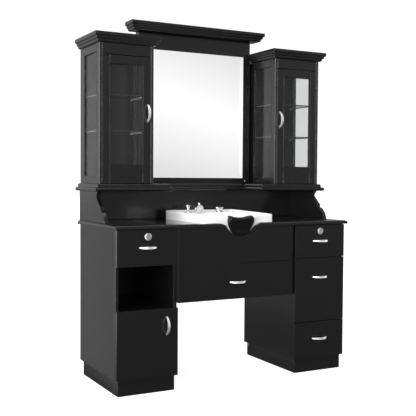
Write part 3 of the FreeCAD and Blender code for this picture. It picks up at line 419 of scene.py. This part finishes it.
def shelf_material():
    """Shelf glass: clear through its faces, dark at the front edge and diffuse at its ends, where painted
    light makes them lighter or darker by place.
    """
    material, tree, surface = new_material("shelf_glass")
    geometry = tree.nodes.new("ShaderNodeNewGeometry")
    place = parts_of(tree, geometry, "Position")
    facing = parts_of(tree, geometry, "True Normal")
    clear = add(tree, "ShaderNodeBsdfTransparent", Color=pane_tint)
    front = add(tree, "ShaderNodeBsdfDiffuse", Color=shelf_front_tint)
    # The ends' colour is painted light: lighter or darker by their place across the room, not by any lamp
    end = tree.nodes.new("ShaderNodeBsdfDiffuse")
    across = scaled(tree, place["X"], 0.5, 0.5)
    tree.links.new(ramp(tree, across, shelf_end_painted_light), end.inputs["Color"])
    body = clear.outputs["BSDF"]
    for axis, cut in (("Y", front), ("X", end)):
        faces = maths(tree, "GREATER_THAN", maths(tree, "ABSOLUTE", facing[axis]), shelf_cut_slope)
        body = mix_shaders(tree, faces, body, cut.outputs["BSDF"])
    tree.links.new(thin_glass(tree, body, shelf_ior, shelf_gloss, shelf_roughness), surface)
    return material


def wood_material():
    """Waxed beech with its grain along the runner."""
    material, tree, surface = new_material("runner_beech")
    shader = add(tree, "ShaderNodeBsdfPrincipled", Roughness=beech_roughness)
    colours = tree.nodes.new("ShaderNodeMix")
    colours.data_type = "RGBA"
    colours.inputs["A"].default_value = beech_dark
    colours.inputs["B"].default_value = beech_light
    tree.links.new(noise(tree, beech_scale, beech_detail, beech_stretch), colours.inputs["Factor"])
    join(tree, colours, "Result", shader, "Base Color")
    tree.links.new(shader.outputs["BSDF"], surface)
    return material


# Finishes by material slot
finishes = {
    "black_laminate": laminate("black_laminate", laminate_roughness, laminate_specular, laminate_grain,
                               edge=soft_edge),
    "black_gloss_laminate": laminate("black_gloss_laminate", gloss_roughness, laminate_specular, gloss_grain,
                                     edge=soft_edge),
    "white_acrylic": principled("white_acrylic", base=(0.85, 0.85, 0.845), roughness=0.18, wear=0.03),
    "black_cushion": principled("black_cushion", base=(0.004, 0.004, 0.004), roughness=0.36, specular=0.22,
                                grain=0.00002, grain_scale=1400),
    "chrome": principled("chrome", base=(0.88, 0.88, 0.885), roughness=0.07, metallic=1.0, wear=0.02,
                         wear_scale=90),
    "steel": principled("steel", base=(0.55, 0.55, 0.55), roughness=0.3, metallic=1.0, wear=0.05,
                        wear_scale=120),
    "clear_glass": pane_material(),
    "mirror": mirror_material(),
    "drawer_melamine": principled("drawer_melamine", base=(0.62, 0.61, 0.58), roughness=0.42, specular=0.35,
                                  wear=0.04, grain=0.000006, grain_scale=500),
    "runner_beech": wood_material(),
}

# Finishes of single nodes and small fittings
shelf_glass = shelf_material()
riser_laminate = laminate("riser_laminate", riser_roughness, riser_specular, gloss_grain)
front_laminate = laminate("front_laminate", laminate_roughness, laminate_specular, laminate_grain)
satin_chrome = principled("satin_chrome", base=(0.9, 0.9, 0.9), roughness=0.52, metallic=1.0, wear=0.03,
                          wear_scale=60)
satin_nickel = principled("satin_nickel", base=(0.62, 0.62, 0.615), roughness=0.5, metallic=1.0, wear=0.03,
                          wear_scale=60)
black_metal = principled("black_metal", base=(0.02, 0.02, 0.02), roughness=0.45, wear=0.04, wear_scale=200)
nozzle_rubber = principled("nozzle_rubber", base=(0.1, 0.1, 0.1), roughness=0.5, grain=0.00001,
                           grain_scale=2500)
hot_enamel = principled("hot_enamel", base=(0.55, 0.02, 0.12), roughness=0.2, wear=0.04, wear_scale=400)
cold_enamel = principled("cold_enamel", base=(0.02, 0.09, 0.5), roughness=0.2, wear=0.04, wear_scale=400)
own_finishes = {"glass_shelves": shelf_glass, "pivot_hinges": black_metal, "riser_back": riser_laminate}
hardware = {"_handle": satin_chrome, "_lock": satin_nickel, "_plug": finishes["steel"]}


def finish_of(name):
    if name in own_finishes:
        return own_finishes[name]
    if name in fronts:
        return front_laminate
    for ending, finish in hardware.items():
        if name.endswith(ending):
            return finish
    return finishes[slot_of[name]]


# Mesh finish

def new_group(name):
    """An empty geometry tree. Returns it with its first and last nodes."""
    group = bpy.data.node_groups.new(name, "GeometryNodeTree")
    group.interface.new_socket("Geometry", in_out="INPUT", socket_type="NodeSocketGeometry")
    group.interface.new_socket("Geometry", in_out="OUTPUT", socket_type="NodeSocketGeometry")
    return group, group.nodes.new("NodeGroupInput"), group.nodes.new("NodeGroupOutput")


def chain(group, *steps):
    """Passes the geometry from each node to the next."""
    for before, after in zip(steps, steps[1:]):
        join(group, before, "Geometry", after, "Geometry")


def clean_group():
    """Joins the split corners of a node's mesh and shades it smooth, apart from its sharp edges."""
    group, start, end = new_group("clean_mesh")
    weld = add(group, "GeometryNodeMergeByDistance", Distance=weld_distance)
    faces = add(group, "GeometryNodeSetShadeSmooth", Shade_Smooth=True)
    edges = add(group, "GeometryNodeSetShadeSmooth", Shade_Smooth=False)
    edges.domain = "EDGE"
    angle = group.nodes.new("GeometryNodeInputMeshEdgeAngle")
    sharp = add(group, "FunctionNodeCompare", B=smooth_limit)
    sharp.operation = "GREATER_THAN"
    join(group, angle, "Unsigned Angle", sharp, "A")
    join(group, sharp, "Result", edges, "Selection")
    chain(group, start, weld, faces, edges, end)
    return group


def weight_group(outer_start):
    """Marks front upright edges beyond the given distance for the full rounding, the rest for a share."""
    group, start, end = new_group("edge_weights")
    edge = group.nodes.new("GeometryNodeInputMeshEdgeVertices")
    between = group.nodes.new("ShaderNodeVectorMath")
    between.operation = "SUBTRACT"
    direction = group.nodes.new("ShaderNodeVectorMath")
    direction.operation = "NORMALIZE"
    angle = group.nodes.new("GeometryNodeInputMeshEdgeAngle")
    store = add(group, "GeometryNodeStoreNamedAttribute", Name="bevel_weight_edge")
    store.data_type = "FLOAT"
    store.domain = "EDGE"
    group.links.new(edge.outputs["Position 1"], between.inputs[0])
    group.links.new(edge.outputs["Position 2"], between.inputs[1])
    join(group, between, "Vector", direction, "Vector")
    slant = parts_of(group, direction, "Vector")
    place = parts_of(group, edge, "Position 1")
    upright = maths(group, "GREATER_THAN", maths(group, "ABSOLUTE", slant["Z"]), upright_share)
    outer = maths(group, "GREATER_THAN", maths(group, "ABSOLUTE", place["X"]), outer_start)
    front = maths(group, "LESS_THAN", place["Y"], front_edge_limit)
    sharp = maths(group, "GREATER_THAN", angle.outputs["Unsigned Angle"], smooth_limit)
    weight = maths(group, "MAXIMUM", product(group, upright, outer, front), inner_edge_share)
    group.links.new(product(group, weight, sharp), store.inputs["Value"])
    chain(group, start, store, end)
    return group


def lip_group(below, behind):
    """Carries a board's lower back edge, below and behind the given places, a little further down."""
    group, start, end = new_group("lower_lip")
    place = parts_of(group, group.nodes.new("GeometryNodeInputPosition"), "Position")
    move = add(group, "GeometryNodeSetPosition", Offset=(0, 0, -apron_lip))
    low = maths(group, "LESS_THAN", place["Z"], below)
    back = maths(group, "GREATER_THAN", place["Y"], behind)
    group.links.new(product(group, low, back), move.inputs["Selection"])
    chain(group, start, move, end)
    return group


def dip_group(middle):
    """Lowers the bowl's rim towards its front, most beside the neck notch at the given place."""
    group, start, end = new_group("rim_dip")
    place = parts_of(group, group.nodes.new("GeometryNodeInputPosition"), "Position")
    offset = group.nodes.new("ShaderNodeCombineXYZ")
    move = group.nodes.new("GeometryNodeSetPosition")
    height = maths(group, "SUBTRACT", place["Z"], rim_dip_start)
    high = within(group, maths(group, "DIVIDE", height, rim_dip_rise))
    front = within(group, maths(group, "DIVIDE", place["Y"], -rim_dip_depth))
    away = maths(group, "ABSOLUTE", maths(group, "SUBTRACT", place["X"], middle))
    near = within(group, maths(group, "SUBTRACT", 1.0, maths(group, "DIVIDE", away, rim_dip_reach)))
    group.links.new(product(group, high, front, near, -rim_dip), offset.inputs["Z"])
    join(group, offset, "Vector", move, "Offset")
    chain(group, start, move, end)
    return group


clean_mesh = clean_group()
end_edges = weight_group(end_edge_start)
corner_edges = weight_group(corner_edge_start)


def middle_of(node):
    low, high = (Vector(corner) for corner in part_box(node))
    return (low + high) / 2


def drop_imported_normals(mesh):
    if "custom_normal" in mesh.attributes:
        mesh.attributes.remove(mesh.attributes["custom_normal"])


def use_group(piece, name, group):
    modifier = piece.modifiers.new(name, "NODES")
    modifier.node_group = group


def join_faces(piece):
    """Takes the triangle lines off a board's flat faces."""
    modifier = piece.modifiers.new("join_faces", "DECIMATE")
    modifier.decimate_type = "DISSOLVE"
    modifier.angle_limit = flat_limit


def round_edges(piece, width, flat):
    """Breaks the sharp edges by the given width; flat boards first lose their triangle lines."""
    if flat:
        join_faces(piece)
    edge = piece.modifiers.new("edge", "BEVEL")
    edge.width = width
    edge.segments = edge_segments
    edge.limit_method = "ANGLE"
    edge.angle_limit = smooth_limit
    if flat:
        piece.modifiers.new("weighted", "WEIGHTED_NORMAL")


def round_outer_edges(piece, edge_weights):
    """Rounds the edges that the weights choose, and only breaks the others."""
    join_faces(piece)
    use_group(piece, "weights", edge_weights)
    edge = piece.modifiers.new("edge", "BEVEL")
    edge.width = outer_edge
    edge.segments = outer_edge_segments
    edge.limit_method = "WEIGHT"
    edge.use_clamp_overlap = False
    piece.modifiers.new("weighted", "WEIGHTED_NORMAL")


def dress(name, piece):
    """Gives a node its finish and its edges."""
    drop_imported_normals(piece.data)
    piece.data.materials.clear()
    piece.data.materials.append(finish_of(name))
    use_group(piece, "clean", clean_mesh)
    if name == "bowl":
        use_group(piece, "dip", dip_group(middle_of("neck_rest").x))
    if name == "apron":
        use_group(piece, "lip", lip_group(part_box(name)[0][2] + apron_lip, middle_of(name).y))
    if name in fronts or name == "pedestal_sides":
        round_outer_edges(piece, end_edges)
    elif name == "cabinet_sides":
        round_outer_edges(piece, corner_edges)
    elif name in moulded:
        round_edges(piece, moulding_edge, False)
    elif name in framed:
        round_edges(piece, frame_edge, True)
    elif name not in crisp and not name.endswith(tuple(hardware)):
        round_edges(piece, board_edge, True)


for node_name, node_piece in nodes.items():
    dress(node_name, node_piece)


# Neck rest: the moulded pad, rounded all over

def evaluated_mesh(piece):
    graph = bpy.context.evaluated_depsgraph_get()
    return bpy.data.meshes.new_from_object(piece.evaluated_get(graph), depsgraph=graph)


def settle(mesh):
    """Sets the rest's lower front back towards the apron."""
    low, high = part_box("neck_rest")
    for vertex in mesh.vertices:
        lower = min(max((rest_settle_top - vertex.co.z) / rest_settle_fade, 0), 1)
        forward = (high[1] - vertex.co.y) / (high[1] - low[1])
        vertex.co.y += rest_settle * lower * forward


def soft_rest():
    rest = bpy.data.objects.new("neck_rest_pad", nodes["neck_rest"].data.copy())
    scene.collection.objects.link(rest)
    use_group(rest, "clean", clean_mesh)
    skin = rest.modifiers.new("skin", "REMESH")
    skin.mode = "VOXEL"
    skin.voxel_size = rest_voxel
    skin.use_smooth_shade = True
    relax = rest.modifiers.new("relax", "SMOOTH")
    relax.factor = rest_relax
    relax.iterations = rest_smoothing
    bpy.context.view_layer.update()
    mesh = evaluated_mesh(rest)
    settle(mesh)
    rest.modifiers.clear()
    rest.data = mesh
    rest.data.materials.clear()
    rest.data.materials.append(finishes["black_cushion"])
    for face in rest.data.polygons:
        face.use_smooth = True
    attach(rest, "station")
    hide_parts("neck_rest")


soft_rest()


# Small fittings, each turned from a profile of (radius, height) pairs

def turned(name, profile, places, material, body, sides=24, solid=True):
    """One piece with a turned form at each place; a place is a centre and the way it points."""
    builder = bmesh.new()
    for centre, axis in places:
        aim = Vector((0, 0, 1)).rotation_difference(Vector(axis)).to_matrix()
        rings = []
        for radius, height in profile:
            ring = []
            for step in range(sides):
                angle = 2 * math.pi * step / sides
                point = Vector((radius * math.cos(angle), radius * math.sin(angle), height))
                ring.append(builder.verts.new(Vector(centre) + aim @ point))
            rings.append(ring)
        for lower, upper in zip(rings, rings[1:]):
            for step in range(sides):
                after = (step + 1) % sides
                builder.faces.new((lower[step], lower[after], upper[after], upper[step]))
        if solid:
            builder.faces.new(list(reversed(rings[0])))
            builder.faces.new(rings[-1])
    mesh = bpy.data.meshes.new(name)
    builder.to_mesh(mesh)
    builder.free()
    mesh.materials.append(material)
    piece = bpy.data.objects.new(name, mesh)
    scene.collection.objects.link(piece)
    use_group(piece, "clean", clean_mesh)
    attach(piece, body)


def spray_face():
    """The white plate in the shower head's face, with its dark ring and its rings of nozzles."""
    low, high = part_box("spray_head")
    face = Vector(((low[0] + high[0]) / 2, low[1], low[2] + spray_head_radius))
    front = (0, -1, 0)
    turned("spray_plate", spray_plate, [(face, front)], finishes["white_acrylic"], "station",
           spray_sides)
    turned("spray_ring", spray_ring, [(face, front)], nozzle_rubber, "station", spray_sides,
           False)
    places = []
    for radius, count in nozzle_rings:
        for step in range(count):
            angle = 2 * math.pi * step / count
            offset = Vector((radius * math.cos(angle), 0, radius * math.sin(angle)))
            places.append((face + offset, front))
    turned("spray_nozzles", nozzle, places, nozzle_rubber, "station", nozzle_sides)


def tap_index(knob, turn, enamel):
    """A small enamelled button in the knob's flank, under its brim."""
    centre = middle_of(knob)
    front = Vector((math.sin(turn), -math.cos(turn), 0))
    centre.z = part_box(knob)[1][2] - index_drop
    down = Vector((0, 0, -1))
    axis = front * math.cos(index_tilt) + down * math.sin(index_tilt)
    turned(knob + "_index", index_button, [(centre + front * index_reach, axis)], enamel, knob)


def handle_screws(body, inner_face, upright):
    """The two screws that hold a bow handle, seen on the back of its front."""
    centre = middle_of(body + "_handle")
    centre.y = inner_face
    step = Vector((0, 0, handle_screw_reach)) if upright else Vector((handle_screw_reach, 0, 0))
    places = [(centre + step, (0, 1, 0)), (centre - step, (0, 1, 0))]
    turned(body + "_handle_screws", screw_head, places, finishes["steel"], body)


def fittings():
    spray_face()
    tap_index("hot_knob", hot_turn, hot_enamel)
    tap_index("cold_knob", cold_turn, cold_enamel)
    for body in drawers:
        box_low, box_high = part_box(body + "_box")
        in_box = middle_of(body + "_handle").z < box_high[2]
        handle_screws(body, box_low[1] + (drawer_wall if in_box else 0), False)
    handle_screws("base_door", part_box("base_door")[1][1], True)
    for body in glass_doors:
        handle_screws(body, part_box(body + "_frame")[1][1], True)
    board_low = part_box("mirror_board")[0]
    place = (mirror_screw_right, board_low[1], board_low[2] + mirror_screw_rise)
    turned("mirror_screw", screw_head, [(place, (0, -1, 0))], finishes["steel"], "station")


fittings()


# Floor and studio

def floor_light(tree):
    """The light that the floor throws back at the part, by its place. Returns a socket."""
    geometry = tree.nodes.new("ShaderNodeNewGeometry")
    place = parts_of(tree, geometry, "Position")
    across = scaled(tree, place["X"], floor_span_share, 0.5)
    behind = maths(tree, "GREATER_THAN", place["Y"], floor_back_line)
    before = maths(tree, "LESS_THAN", place["Y"], floor_front_line)
    beside = maths(tree, "GREATER_THAN", place["Y"], place["X"])
    middle = scaled(tree, behind, floor_behind_level - floor_level, floor_level)
    left = ramp(tree, across, floor_left_lights)
    left = product(tree, left, maths(tree, "SUBTRACT", 1.0, before))
    far_left = ramp(tree, across, floor_far_left_lights)
    far_left = product(tree, before, beside, far_left)
    return maths(tree, "MAXIMUM", maths(tree, "MAXIMUM", left, middle), far_left)


def build_floor():
    """Pale to the camera, with the part's shadow; to the part, zones of their own light."""
    mesh = bpy.data.meshes.new("floor")
    corners = [(-floor_reach, -floor_reach, 0), (floor_reach, -floor_reach, 0),
               (floor_reach, floor_reach, 0), (-floor_reach, floor_reach, 0)]
    mesh.from_pydata(corners, [], [(0, 1, 2, 3)])
    floor = bpy.data.objects.new("floor", mesh)
    scene.collection.objects.link(floor)
    material, tree, surface = new_material("floor")
    rays = tree.nodes.new("ShaderNodeLightPath")
    seen_light = add(tree, "ShaderNodeEmission", Strength=floor_seen_level)
    seen_shade = add(tree, "ShaderNodeBsdfDiffuse", Color=floor_seen_tint)
    seen = tree.nodes.new("ShaderNodeAddShader")
    tree.links.new(seen_light.outputs["Emission"], seen.inputs[0])
    tree.links.new(seen_shade.outputs["BSDF"], seen.inputs[1])
    given = tree.nodes.new("ShaderNodeEmission")
    tree.links.new(floor_light(tree), given.inputs["Strength"])
    shader = mix_shaders(tree, rays.outputs["Is Camera Ray"], given.outputs["Emission"],
                         seen.outputs["Shader"])
    tree.links.new(shader, surface)
    mesh.materials.append(material)


def build_world():
    """White to the camera; to the part, lights far left and far right, a soft box and a lamp overhead."""
    world = bpy.data.worlds.new("studio")
    scene.world = world
    world.use_nodes = True
    tree = world.node_tree
    tree.nodes.clear()
    output = tree.nodes.new("ShaderNodeOutputWorld")
    toward = parts_of(tree, tree.nodes.new("ShaderNodeTexCoord"), "Generated")
    across = scaled(tree, toward["X"], 0.5, 0.5)
    is_back = maths(tree, "GREATER_THAN", toward["Y"], 0.0)
    around = blend(tree, is_back, ramp(tree, across, front_lights), ramp(tree, across, back_lights))
    high = blend(tree, is_back, ramp(tree, across, high_lights), high_level)
    sides = blend(tree, ramp(tree, toward["Z"], high_share), around, high)
    level = maths(tree, "ADD", sides, ramp(tree, toward["Z"], overhead_lights))
    studio = add(tree, "ShaderNodeBackground", Color=(1, 1, 1, 1))
    tree.links.new(level, studio.inputs["Strength"])
    white = add(tree, "ShaderNodeBackground", Color=(1, 1, 1, 1), Strength=white_level)
    rays = tree.nodes.new("ShaderNodeLightPath")
    shader = mix_shaders(tree, rays.outputs["Is Camera Ray"], studio.outputs["Background"],
                         white.outputs["Background"])
    tree.links.new(shader, output.inputs["Surface"])


def build_camera():
    forward = Vector((math.sin(camera_yaw) * math.cos(camera_dip),
                      math.cos(camera_yaw) * math.cos(camera_dip),
                      -math.sin(camera_dip)))
    right = Vector((math.cos(camera_yaw), -math.sin(camera_yaw), 0))
    up = right.cross(forward)
    across = math.cos(camera_roll) * right + math.sin(camera_roll) * up
    rise = math.cos(camera_roll) * up - math.sin(camera_roll) * right
    data = bpy.data.cameras.new("photo_camera")
    data.sensor_width = camera_sensor
    data.lens = camera_lens
    data.clip_start = camera_near
    data.clip_end = camera_far
    camera = bpy.data.objects.new("photo_camera", data)
    turn = Matrix((across, rise, -forward)).transposed().to_4x4()
    camera.matrix_world = Matrix.Translation(camera_place) @ turn
    scene.collection.objects.link(camera)
    scene.camera = camera


build_floor()
build_world()
build_camera()
scene.view_settings.view_transform = "Standard"
